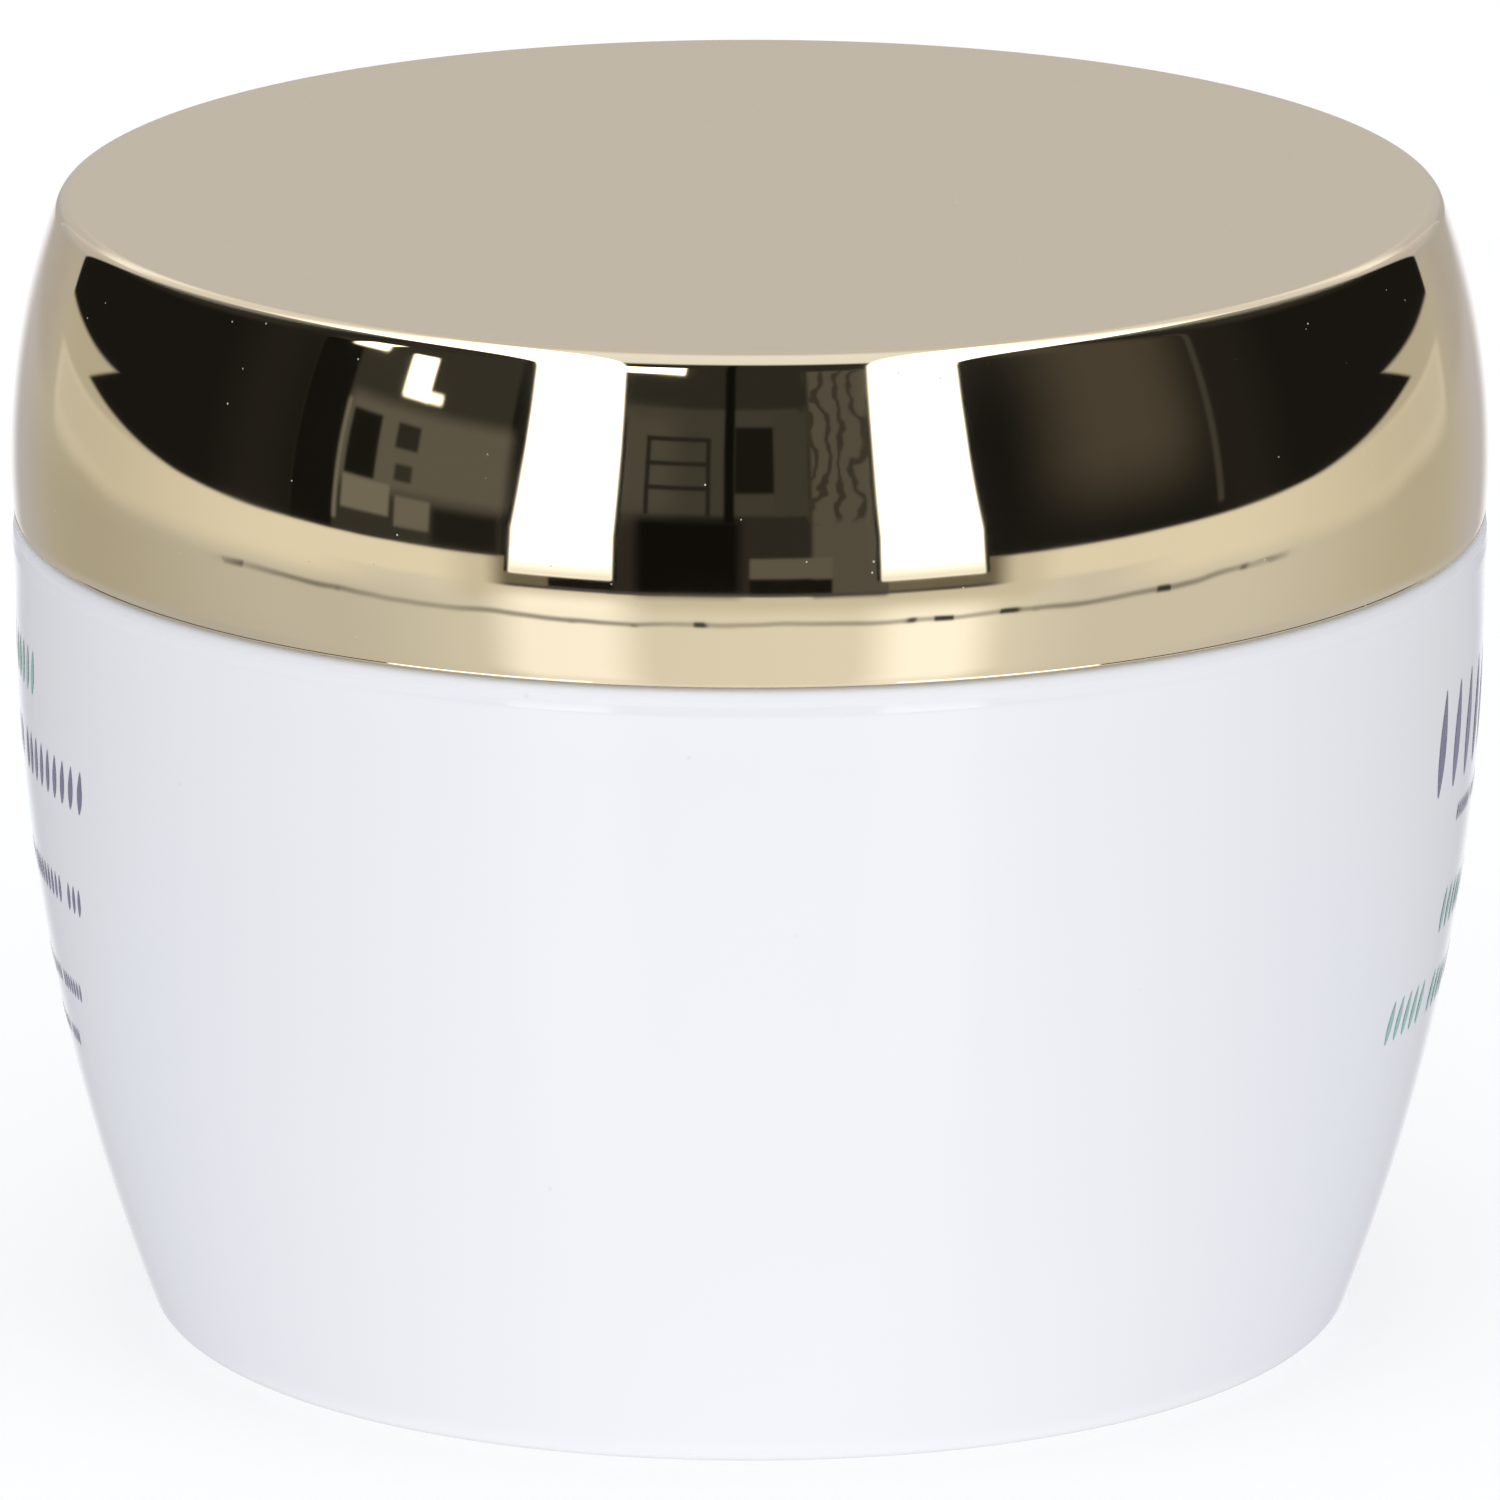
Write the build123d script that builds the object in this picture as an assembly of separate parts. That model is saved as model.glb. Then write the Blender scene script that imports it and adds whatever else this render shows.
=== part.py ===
from build123d import *
import os
from math import asin, cos, degrees, sqrt

# A double-walled 50 ml cosmetic cream jar with a screw lid, in millimetres, in six pieces:
# outer_jar     the white barrel-shaped outer wall, closed at the bottom
# inner_cup     the cup for the cream, with a flange, a snap skirt and a threaded neck
# sealing_disc  the dished disc that plugs the mouth, with a finger grip
# lid_liner     the foam disc that the lid presses on the sealing disc
# lid_insert    the inner lid, with the screw thread
# lid_shell     the metallised outer lid with a flat top
# All are turned about +Z, and the origin is the centre of the foot.

# Outside form
DIAMETER = 70.0  # widest point, on the lid
HEIGHT = 54.6
LID_EDGE_Z = 39.45  # lower edge of the lid
LID_SIDE_ARC = 34.5  # radius of the lid's bulging side, in section
LID_WIDEST_Z = 42.0
LID_RIM_CORNER = 1.0  # between the flat top and the side
JAR_RADIUS = 34.85  # widest point of the jar's barrel
JAR_WIDEST_Z = 35.5
JAR_SIDE_ARC = 97.2  # radius of the jar's side, in section
SHOULDER_Z = 38.0  # top of the slight flare above the jar's widest point
SHOULDER_FLARE = 0.13
FOOT_CORNER = 2.2
JOINT_GAP = 0.1  # between the lid's edge and the jar's rim

# Outer jar
JAR_WALL = 1.9
JAR_FLOOR = 2.0
JAR_INSIDE_CORNER = 2.5
JAR_RIM_CORNER = 0.8
FOOT_RECESS_DEPTH = 1.0
FOOT_RECESS_TAPER = 0.5
FOOT_RING_WIDTH = 3.6
REBATE_RADIUS = 33.35  # seat for the cup's flange
COLLAR_RADIUS = 32.2  # bore that grips the cup's skirt
COLLAR_LENGTH = 5.6
COLLAR_RAMP_SLOPE = 1.5  # rise of the collar's underside for each step inwards
SNAP_DROP = 2.0  # from the flange down to the middle of the snap groove
SNAP_HEIGHT = 1.4
SNAP_DEPTH = 0.4
KEY_COUNT = 6  # ribs that stop the cup turning in the jar
KEY_WIDTH = 1.6
KEY_HEIGHT = 2.0
KEY_REACH = 1.6

# Inner cup
FLANGE_THICKNESS = 1.1
FLANGE_SINK = 0.1  # how far the flange lies below the jar's rim
FLANGE_CLEARANCE = 0.1
FLANGE_CHAMFER = 0.2
CUP_WALL = 1.4
CUP_MOUTH_RADIUS = 26.25
CUP_FLOOR_Z = 16.5  # inside of the cup's floor
CUP_INSIDE_CORNER = 14.0
CUP_DRAFT = 0.02
NECK_RADIUS = 27.75
NECK_TOP_Z = 49.4
NECK_LIP = 0.3
SKIRT_WALL = 1.2
SKIRT_LENGTH = 4.6
SKIRT_LEAD_IN = 0.3

# Screw thread, right-handed
THREAD_STARTS = 2
THREAD_LEAD = 8.0
THREAD_HEIGHT = 1.0
THREAD_BASE = 2.0  # width at the wall
THREAD_CREST = 0.9  # width at the crest
THREAD_BITE = 0.25  # how far a thread is sunk into its wall
THREAD_CLEARANCE = 0.2  # radial, from each crest to the other wall
THREAD_FLANK_GAP = 0.1
CUP_THREAD_Z = 42.0
CUP_THREAD_TURNS = 0.70
LID_THREAD_TURNS = 0.58
LID_THREAD_DELAY = 1 / 6  # turns by which the lid's thread starts after the cup's

# Sealing disc
DISC_FLANGE = 0.7
DISC_WALL = 0.8
DISC_DEPTH = 5.0
DISC_SEAL_HEIGHT = 1.5  # straight band that seals in the mouth
DISC_TAPER = 0.4
DISC_EDGE = 0.5
DISC_CLEARANCE = 0.15
GRIP_LENGTH = 15.0
GRIP_THICKNESS = 1.5
GRIP_CORNER = 3.0
GRIP_DROP = 0.3  # how far the grip stays below the flange

# Lid
SHELL_WALL = 1.6
SHELL_TOP = 1.8
SHELL_INSIDE_CORNER = 0.4
SHELL_EDGE_CORNER = 0.2
LINER_THICKNESS = 1.05
LINER_CLEARANCE = 0.25  # radial, so that the liner can stay still while the lid turns
INSERT_WALL = 1.35
INSERT_TOP = 1.4
INSERT_FLANGE = 1.0
INSERT_EDGE_Z = 40.4
LINER_BEAD = 0.45  # bead that keeps the liner in
SHELL_BEAD = 0.3  # bead that keeps the insert in
BEAD_HEIGHT = 0.5
DRIVE_RIBS = 8  # ribs in the shell, each held between two ribs on the insert
DRIVE_RIB_WIDTH = 1.2
DRIVE_RIB_Z = 46.0
DRIVE_RIB_REACH = 0.9
DRIVE_RIB_SPREAD = 3.2  # degrees from a shell rib to each insert rib beside it

SEAT_GAP = 0.05  # between faces that press together
FIT = 0.15  # radial clearance between pieces that stay together
BITE = 0.2  # overlap that joins two forms of one piece

# Heights and radii that follow
jar_rim_z = LID_EDGE_Z - JOINT_GAP
flange_top_z = jar_rim_z - FLANGE_SINK
rebate_z = flange_top_z - FLANGE_THICKNESS
skirt_radius = COLLAR_RADIUS - FIT
lid_bore = NECK_RADIUS + THREAD_HEIGHT + THREAD_CLEARANCE
disc_top_z = NECK_TOP_Z + DISC_FLANGE
disc_floor_z = NECK_TOP_Z - DISC_DEPTH
liner_z = disc_top_z + SEAT_GAP
insert_ceiling_z = liner_z + LINER_THICKNESS + SEAT_GAP
insert_top_z = insert_ceiling_z + INSERT_TOP
insert_radius = lid_bore + INSERT_WALL
shell_ceiling_z = HEIGHT - SHELL_TOP
flank_slope = (THREAD_BASE - THREAD_CREST) / 2 / THREAD_HEIGHT


def turned(edges):
    """A solid turned about Z from a closed outline of edges drawn as (radius, height)."""
    return revolve(Plane.XZ * make_face(Wire(edges)), Axis.Z)


def closed(points):
    """The straight edges of a closed outline."""
    return [Line(a, b) for a, b in zip(points, points[1:] + points[:1])]


def ring(inner, outer, low, high):
    """A plain ring between two radii and two heights."""
    return turned(closed([(inner, low), (outer, low), (outer, high), (inner, high)]))


def ribs(count, width, inner, outer, low, high, offset_deg=0.0):
    """Radial ribs spaced evenly round the axis."""
    block = Box(outer - inner, width, high - low, align=(Align.MIN, Align.CENTER, Align.MIN))
    step = 360 / count
    return Compound([Rot(0, 0, offset_deg + k * step) * Pos(inner, 0, low) * block for k in range(count)])


def threads(wall_radius, z, turns, side, start_deg=0.0):
    """Every start of one screw thread, on the outside (side 1) or the inside (side -1) of a wall."""
    root = wall_radius - side * THREAD_BITE
    crest = wall_radius + side * THREAD_HEIGHT
    half_root = THREAD_BASE / 2 + flank_slope * THREAD_BITE
    half_crest = THREAD_CREST / 2
    section = closed([(root, -half_root), (crest, -half_crest), (crest, half_crest), (root, half_root)])
    path = Helix(pitch=THREAD_LEAD, height=turns * THREAD_LEAD, radius=wall_radius)
    one = sweep(Plane.XZ * make_face(Wire(section)), path=path, is_frenet=True)
    step = 360 / THREAD_STARTS
    return [Rot(0, 0, start_deg + k * step) * Pos(0, 0, z) * one for k in range(THREAD_STARTS)]


def bulge_radius(widest, arc, widest_z, z):
    """Radius at height z of a side that bulges to `widest` at `widest_z`."""
    return widest - arc + sqrt(arc**2 - (z - widest_z) ** 2)


def bulge(widest, arc, widest_z, low_z, high_z):
    """That side as one arc, from its lower to its upper end."""
    heights = (low_z, (low_z + high_z) / 2, high_z)
    return ThreePointArc(*[(bulge_radius(widest, arc, widest_z, z), z) for z in heights])


def tangent_corner(widest, arc, widest_z, end_z, corner):
    """The rounded corner between a bulging side and the flat end at height `end_z`."""
    side = 1 if end_z > widest_z else -1
    centre_z = end_z - side * corner
    tilt = asin((centre_z - widest_z) / (arc - corner))
    centre_x = widest - arc + (arc - corner) * cos(tilt)
    start = degrees(tilt) if side == 1 else -90
    return CenterArc((centre_x, centre_z), corner, start, 90 - abs(degrees(tilt)))


def jar_form(inset, floor_z, side_top_z, corner, shoulder=()):
    """The jar's barrel form, moved inwards by `inset`, with any edges that follow above its side."""
    size = (JAR_RADIUS - inset, JAR_SIDE_ARC - inset, JAR_WIDEST_Z)
    low = tangent_corner(*size, floor_z, corner)
    side = bulge(*size, (low @ 1).Y, side_top_z)
    outline = [Line((0, floor_z), low @ 0), low, side, *shoulder]
    top = outline[-1] @ 1
    return turned([*outline, Line(top, (0, top.Y)), Line((0, top.Y), (0, floor_z))])


def jar_shoulder():
    """The flare above the barrel's widest point, and the upright band above it."""
    rise = SHOULDER_Z - JAR_WIDEST_Z
    arc = (rise**2 + SHOULDER_FLARE**2) / (2 * SHOULDER_FLARE)
    middle = (JAR_RADIUS + arc - sqrt(arc**2 - rise**2 / 4), JAR_WIDEST_Z + rise / 2)
    top = (JAR_RADIUS + SHOULDER_FLARE, SHOULDER_Z)
    flare = ThreePointArc((JAR_RADIUS, JAR_WIDEST_Z), middle, top)
    return flare, Line(top, (top[0], jar_rim_z))


def lid_form(inset, low_z, top_z, corner):
    """The lid's form with its flat top and bulging side, moved inwards by `inset`."""
    size = (DIAMETER / 2 - inset, LID_SIDE_ARC - inset, LID_WIDEST_Z)
    rim = tangent_corner(*size, top_z, corner)
    side = bulge(*size, low_z, (rim @ 0).Y)
    return turned([
        Line((0, low_z), side @ 0),
        side,
        rim,
        Line(rim @ 1, (0, top_z)),
        Line((0, top_z), (0, low_z)),
    ])


def lid_inside_radius(z):
    return bulge_radius(DIAMETER / 2 - SHELL_WALL, LID_SIDE_ARC - SHELL_WALL, LID_WIDEST_Z, z)


def cup_form(grow, top_z):
    """The cup's inside, or its outside when `grow` is the wall: a tapered wall and a rounded floor."""
    floor_z = CUP_FLOOR_Z - grow
    top_radius = CUP_MOUTH_RADIUS + grow
    low_radius = top_radius - CUP_DRAFT * (top_z - floor_z)
    form = turned(closed([(0, floor_z), (low_radius, floor_z), (top_radius, top_z), (0, top_z)]))
    return fillet(form.edges().filter_by(GeomType.CIRCLE).sort_by(Axis.Z)[0], CUP_INSIDE_CORNER + grow)


def make_outer_jar():
    jar = jar_form(0, 0, JAR_WIDEST_Z, FOOT_CORNER, jar_shoulder())
    jar = fillet(jar.edges().filter_by(GeomType.CIRCLE).sort_by(Axis.Z)[-1], JAR_RIM_CORNER)

    # The recess under the foot
    foot_radius = jar.faces().sort_by(Axis.Z)[0].bounding_box().max.X
    recess_radius = foot_radius - FOOT_RING_WIDTH
    low = (Align.CENTER, Align.CENTER, Align.MIN)
    jar -= Cone(recess_radius, recess_radius - FOOT_RECESS_TAPER, FOOT_RECESS_DEPTH, align=low)

    # The hollow, less the keys, and the collar's bore with its rebate and snap groove
    collar_z = rebate_z - COLLAR_LENGTH
    wall_radius = bulge_radius(JAR_RADIUS - JAR_WALL, JAR_SIDE_ARC - JAR_WALL, JAR_WIDEST_Z, collar_z)
    ramp_z = collar_z - (wall_radius - COLLAR_RADIUS) * COLLAR_RAMP_SLOPE
    hollow = jar_form(JAR_WALL, FOOT_RECESS_DEPTH + JAR_FLOOR, ramp_z, JAR_INSIDE_CORNER)
    ramp_radius = bulge_radius(JAR_RADIUS - JAR_WALL, JAR_SIDE_ARC - JAR_WALL, JAR_WIDEST_Z, ramp_z)
    hollow += turned(closed([
        (0, ramp_z - BITE),
        (ramp_radius - BITE, ramp_z - BITE),
        (ramp_radius, ramp_z),
        (COLLAR_RADIUS, collar_z),
        (COLLAR_RADIUS, rebate_z),
        (REBATE_RADIUS, rebate_z),
        (REBATE_RADIUS, LID_EDGE_Z),
        (0, LID_EDGE_Z),
    ]))
    snap_low = rebate_z - SNAP_DROP - SNAP_HEIGHT / 2
    hollow += ring(COLLAR_RADIUS - BITE, COLLAR_RADIUS + SNAP_DEPTH, snap_low, snap_low + SNAP_HEIGHT)
    key_z = rebate_z - SKIRT_LENGTH - KEY_HEIGHT / 4
    hollow -= ribs(KEY_COUNT, KEY_WIDTH, COLLAR_RADIUS - KEY_REACH, JAR_RADIUS, key_z, key_z + KEY_HEIGHT)
    return jar - hollow


def make_inner_cup():
    cup = cup_form(CUP_WALL, flange_top_z)
    cup += ring(0, NECK_RADIUS, rebate_z, NECK_TOP_Z)
    cup = fillet(cup.edges().filter_by(GeomType.CIRCLE).sort_by(Axis.Z)[-1], NECK_LIP)
    edge = REBATE_RADIUS - FLANGE_CLEARANCE
    cup += turned(closed([
        (CUP_MOUTH_RADIUS, rebate_z),
        (edge, rebate_z),
        (edge, flange_top_z - FLANGE_CHAMFER),
        (edge - FLANGE_CHAMFER, flange_top_z),
        (CUP_MOUTH_RADIUS, flange_top_z),
    ]))

    # The skirt that snaps into the jar's collar, notched for the keys
    skirt_z = rebate_z - SKIRT_LENGTH
    bead_z = rebate_z - SNAP_DROP
    cup += turned(closed([
        (skirt_radius - SKIRT_WALL, skirt_z),
        (skirt_radius - SKIRT_LEAD_IN, skirt_z),
        (skirt_radius, skirt_z + SKIRT_LEAD_IN),
        (skirt_radius, bead_z - SNAP_DEPTH),
        (skirt_radius + SNAP_DEPTH, bead_z),
        (skirt_radius, bead_z + SNAP_DEPTH),
        (skirt_radius, rebate_z + BITE),
        (skirt_radius - SKIRT_WALL, rebate_z + BITE),
    ]))
    inner = skirt_radius - SKIRT_WALL - BITE
    notch_top = skirt_z + KEY_HEIGHT
    cup -= ribs(KEY_COUNT, KEY_WIDTH + 2 * FIT, inner, COLLAR_RADIUS, skirt_z - BITE, notch_top)

    for start in threads(NECK_RADIUS, CUP_THREAD_Z, CUP_THREAD_TURNS, side=1):
        cup += start
    return cup - cup_form(0, NECK_TOP_Z)


def make_sealing_disc():
    plug = CUP_MOUTH_RADIUS - DISC_CLEARANCE
    low = plug - DISC_TAPER
    disc = turned(closed([
        (0, disc_floor_z),
        (low - DISC_EDGE, disc_floor_z),
        (low, disc_floor_z + DISC_EDGE),
        (plug, NECK_TOP_Z - DISC_SEAL_HEIGHT),
        (plug, NECK_TOP_Z),
        (NECK_RADIUS, NECK_TOP_Z),
        (NECK_RADIUS, disc_top_z),
        (plug - DISC_WALL, disc_top_z),
        (low - DISC_WALL, disc_floor_z + DISC_WALL),
        (0, disc_floor_z + DISC_WALL),
    ]))
    height = disc_top_z - GRIP_DROP - disc_floor_z
    grip = Box(GRIP_LENGTH, GRIP_THICKNESS, height, align=(Align.CENTER, Align.CENTER, Align.MIN))
    grip = fillet(grip.edges().filter_by(Axis.Y).group_by(Axis.Z)[-1], GRIP_CORNER)
    return disc + Pos(0, 0, disc_floor_z) * grip


def make_lid_liner():
    return ring(0, lid_bore - LINER_CLEARANCE, liner_z, liner_z + LINER_THICKNESS)


def make_lid_insert():
    insert = ring(lid_bore, insert_radius, INSERT_EDGE_Z, insert_top_z)
    insert += ring(0, insert_radius, insert_ceiling_z, insert_top_z)
    flange_top = INSERT_EDGE_Z + INSERT_FLANGE
    insert += ring(lid_bore, lid_inside_radius(flange_top) - FIT, INSERT_EDGE_Z, flange_top)

    # The bead that keeps the liner in
    bead_top = liner_z - 2 * BITE
    insert += turned(closed([
        (lid_bore + BITE, bead_top - BEAD_HEIGHT),
        (lid_bore, bead_top - BEAD_HEIGHT),
        (lid_bore - LINER_BEAD, bead_top),
        (lid_bore + BITE, bead_top),
    ]))

    # Two ribs on the insert stand either side of each rib in the shell
    reach = (insert_radius - BITE, insert_radius + DRIVE_RIB_REACH)
    for offset in (-DRIVE_RIB_SPREAD, DRIVE_RIB_SPREAD):
        insert += ribs(DRIVE_RIBS, DRIVE_RIB_WIDTH, *reach, DRIVE_RIB_Z, insert_top_z, offset)

    # The thread lies just under the cup's, so that the cup's thread pulls it down
    flanks = THREAD_BASE - flank_slope * (lid_bore - NECK_RADIUS)
    z = CUP_THREAD_Z - flanks - THREAD_FLANK_GAP + LID_THREAD_DELAY * THREAD_LEAD
    for start in threads(lid_bore, z, LID_THREAD_TURNS, side=-1, start_deg=360 * LID_THREAD_DELAY):
        insert += start
    return insert


def make_lid_shell():
    inner = insert_radius + FIT
    hollow = lid_form(SHELL_WALL, LID_EDGE_Z, shell_ceiling_z, SHELL_INSIDE_CORNER)
    hollow -= ribs(DRIVE_RIBS, DRIVE_RIB_WIDTH, inner, DIAMETER / 2, DRIVE_RIB_Z, shell_ceiling_z)
    shell = lid_form(0, LID_EDGE_Z, HEIGHT, LID_RIM_CORNER) - hollow

    # The bead that the insert's flange snaps over
    bead_top = INSERT_EDGE_Z - SEAT_GAP
    wall = lid_inside_radius(bead_top)
    shell += turned(closed([
        (wall + BITE, bead_top - BEAD_HEIGHT),
        (wall, bead_top - BEAD_HEIGHT),
        (wall - SHELL_BEAD, bead_top),
        (wall + BITE, bead_top),
    ]))
    edge = shell.edges().filter_by(GeomType.CIRCLE).group_by(Axis.Z)[0]
    return fillet(edge, SHELL_EDGE_CORNER)


PIECES = {
    "outer_jar": make_outer_jar,
    "inner_cup": make_inner_cup,
    "sealing_disc": make_sealing_disc,
    "lid_liner": make_lid_liner,
    "lid_insert": make_lid_insert,
    "lid_shell": make_lid_shell,
}

os.makedirs("parts", exist_ok=True)
for name, make in PIECES.items():
    export_step(make(), f"parts/{name}.step")
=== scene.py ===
from math import acos, asin, cos, degrees, pi, radians, sin, sqrt, tan

import bmesh
import bpy
import numpy as np
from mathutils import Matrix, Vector


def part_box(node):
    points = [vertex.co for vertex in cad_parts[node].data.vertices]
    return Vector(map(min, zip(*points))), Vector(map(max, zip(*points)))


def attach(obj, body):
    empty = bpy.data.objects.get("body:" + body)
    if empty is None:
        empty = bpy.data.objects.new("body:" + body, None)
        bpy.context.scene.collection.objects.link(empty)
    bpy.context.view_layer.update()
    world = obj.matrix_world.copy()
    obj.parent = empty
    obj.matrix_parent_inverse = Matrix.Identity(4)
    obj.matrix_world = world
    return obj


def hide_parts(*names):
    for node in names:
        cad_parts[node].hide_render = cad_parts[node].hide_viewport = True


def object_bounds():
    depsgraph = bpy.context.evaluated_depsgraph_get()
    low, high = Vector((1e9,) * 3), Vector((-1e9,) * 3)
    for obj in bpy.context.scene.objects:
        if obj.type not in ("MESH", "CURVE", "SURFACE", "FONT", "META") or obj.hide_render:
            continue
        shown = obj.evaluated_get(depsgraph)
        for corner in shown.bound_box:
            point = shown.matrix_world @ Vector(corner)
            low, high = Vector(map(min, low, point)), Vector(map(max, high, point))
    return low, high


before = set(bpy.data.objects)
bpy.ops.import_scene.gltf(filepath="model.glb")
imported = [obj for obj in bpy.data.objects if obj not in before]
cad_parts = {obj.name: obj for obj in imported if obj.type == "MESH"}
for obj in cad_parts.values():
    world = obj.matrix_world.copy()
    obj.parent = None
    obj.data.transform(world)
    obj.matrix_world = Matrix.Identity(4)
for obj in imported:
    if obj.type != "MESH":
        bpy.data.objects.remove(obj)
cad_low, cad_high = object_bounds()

MM = 0.001
AROUND = 288  # segments of the large turned surfaces
AROUND_SMALL = 192  # and of the disc and the liner
SHARP_DEG = 32  # edges that turn more than this stay sharp

# ---------------------------------------------------------------- sizes, in millimetres
HEIGHT = cad_high.z / MM
JAR_RIM_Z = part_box("outer_jar")[1].z / MM
LINER_LOW_Z, LINER_HIGH_Z = (corner.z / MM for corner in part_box("lid_liner"))

# The lid's metallised shell
LID_RADIUS = 35.0
LID_SIDE_ARC = 34.5  # radius of the side's bulge
LID_WIDEST_Z = 42.0
LID_RIM_CORNER = 1.0  # rounding between the top and the side
LID_WALL = 1.6
LID_TOP = 1.8  # thickness of the flat top
LID_TOP_CORNER = 0.8  # inside, under the top
LID_TOP_RINGS = (12, 22, 28, 31)  # they keep the flat top's shading even
SEAM = 0.03  # between the jar's rim and the lid's edge
SIDE_END = 0.35  # where the bulge stops, above the lid's edge
MOULD_LINE = ((0.2, 0.008), (0.09, 0.028))  # its points, as height above the edge and depth
LIP_TOP = 0.06
LIP_PROUD = 0.002  # the lip stands this much further out than the bulge's end
LIP_FOOT_Z = 40.0  # inside, where the lip ends
LID_RIBS = 8
LID_RIB = (30.45, 32.4)  # inner and outer radius
LID_RIB_HALF = 0.6
LID_RIB_FOOT_Z = 46.0

# The outer jar
JAR_RADIUS = 34.85
JAR_WIDEST_Z = 35.5
JAR_SIDE_ARC = 97.2  # radius of the barrel's side
JAR_WALL = 1.9
JAR_FLOOR = 3.0
SHOULDER_FLARE = 0.13
SHOULDER_Z = 38.0
SHOULDER_SINK = 0.03  # the band above the shoulder lies this much further in
SHOULDER_STEP = 0.013  # two very fine steps that catch the light
SHOULDER_CORNER = 0.74
FOOT_CORNER = 2.2
FOOT_RING = 3.6  # width of the ring that the jar stands on
FOOT_RECESS = 1.0
INSIDE_CORNER = 2.5
INSIDE_TOP_Z = 31.5
REBATE_Z = JAR_RIM_Z - 1.2
REBATE_RADIUS = 33.35
COLLAR_RADIUS = 32.2
GROOVE_RADIUS = 32.6
COLLAR_DEPTH = 5.6
GROOVE_DEPTHS = (1.3, 2.7)
KEYS = 6
KEY_DEPTHS = (3.1, 5.1)
KEY_RADIUS = 30.6
KEY_HALF = 0.8

# The sealing disc
NECK_TOP_Z = 49.4
DISC_FLOOR_Z = 44.4
DISC_FLOOR = 0.8
DISC_PLUG_RADIUS = 26.1
DISC_RADIUS = 27.75
DISC_FLANGE = 0.7
GRIP_HALF_LENGTH = 7.5
GRIP_HALF_WIDTH = 0.75
GRIP_CORNER = 3.0
GRIP_TOP_Z = 49.8

# The liner
LINER_RADIUS = 28.7
LINER_STEP = 0.07  # depth of the ring that the disc's flange presses in


# ---------------------------------------------------------------- mesh helpers
def arc(x, z, radius, start_deg, end_deg, steps):
    """Points along an arc in the outline's plane."""
    angles = np.radians(np.linspace(start_deg, end_deg, steps + 1))
    return [(x + radius * cos(a), z + radius * sin(a)) for a in angles]


def rounded(corners, steps=5):
    """A closed outline from corners (radius, height, rounding)."""
    points = []
    for i, (x, z, rounding) in enumerate(corners):
        here = np.array((x, z), float)
        if not rounding:
            points.append((x, z))
            continue
        back = np.array(corners[i - 1][:2], float) - here
        ahead = np.array(corners[(i + 1) % len(corners)][:2], float) - here
        back /= np.linalg.norm(back)
        ahead /= np.linalg.norm(ahead)
        half = acos(max(-1, min(1, back @ ahead))) / 2
        middle = (back + ahead) / np.linalg.norm(back + ahead)
        centre = here + middle * rounding / sin(half)
        first = here + back * rounding / tan(half) - centre
        last = here + ahead * rounding / tan(half) - centre
        sweep = pi - 2 * half
        for k in range(steps + 1):
            t = k / steps
            spoke = (sin((1 - t) * sweep) * first + sin(t * sweep) * last) / sin(sweep)
            points.append(tuple(centre + spoke))
    return points


def lathe(bm, outline, segments=AROUND):
    """Adds a closed surface turned about Z from an outline of (radius, height)."""
    turns = [(cos(2 * pi * k / segments), sin(2 * pi * k / segments)) for k in range(segments)]
    rings = []
    for x, z in outline:
        if x < 1e-6:
            rings.append([bm.verts.new((0, 0, z * MM))])
        else:
            rings.append([bm.verts.new((x * c * MM, x * s * MM, z * MM)) for c, s in turns])
    for low, high in zip(rings, rings[1:] + rings[:1]):
        if len(low) == 1 and len(high) == 1:
            continue
        for k in range(segments):
            n = (k + 1) % segments
            near = [low[0]] if len(low) == 1 else [low[k], low[n]]
            far = [high[0]] if len(high) == 1 else [high[n], high[k]]
            bm.faces.new(near + far)


def block(bm, low, high, turn_deg):
    """Adds a box between two corners, turned about Z."""
    made = bmesh.ops.create_cube(bm, size=1.0)["verts"]
    low, high = Vector(low) * MM, Vector(high) * MM
    c, s = cos(radians(turn_deg)), sin(radians(turn_deg))
    for v in made:
        x, y, z = ((low[i] + high[i]) / 2 + v.co[i] * (high[i] - low[i]) for i in range(3))
        v.co = Vector((x * c - y * s, x * s + y * c, z))


def piece(name, bm, material, slot, body, *nodes):
    """Turns a bmesh into a shown piece that rides on a body and stands for CAD nodes."""
    bmesh.ops.recalc_face_normals(bm, faces=bm.faces)
    mesh = bpy.data.meshes.new(name)
    bm.to_mesh(mesh)
    bm.free()
    mesh.shade_smooth()
    mesh.set_sharp_from_angle(angle=radians(SHARP_DEG))
    mesh.materials.append(material)
    obj = bpy.data.objects.new(name, mesh)
    bpy.context.scene.collection.objects.link(obj)
    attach(obj, body)
    if nodes:
        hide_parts(*nodes)


# ---------------------------------------------------------------- shader helpers
def add(tree, kind, inputs=None, **settings):
    """Adds a node, with its settings and its inputs as values or linked sockets."""
    node = tree.nodes.new("ShaderNode" + kind)
    for key, value in settings.items():
        setattr(node, key, value)
    for key, value in (inputs or {}).items():
        if isinstance(value, bpy.types.NodeSocket):
            tree.links.new(value, node.inputs[key])
        else:
            node.inputs[key].default_value = value
    return node


def calc(tree, operation, *values):
    """One step of arithmetic on values or sockets."""
    node = add(tree, "Math", dict(enumerate(values)), operation=operation)
    return node.outputs[0]


def smooth(tree, value, low, high):
    """0 below low, 1 above high, and a smooth step between them. Falls instead if low is above high."""
    rising = high > low
    inputs = {"Value": value, "From Min": min(low, high), "From Max": max(low, high)}
    inputs.update({"To Min": 0.0 if rising else 1.0, "To Max": 1.0 if rising else 0.0})
    return add(tree, "MapRange", inputs, interpolation_type="SMOOTHSTEP").outputs["Result"]


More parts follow.
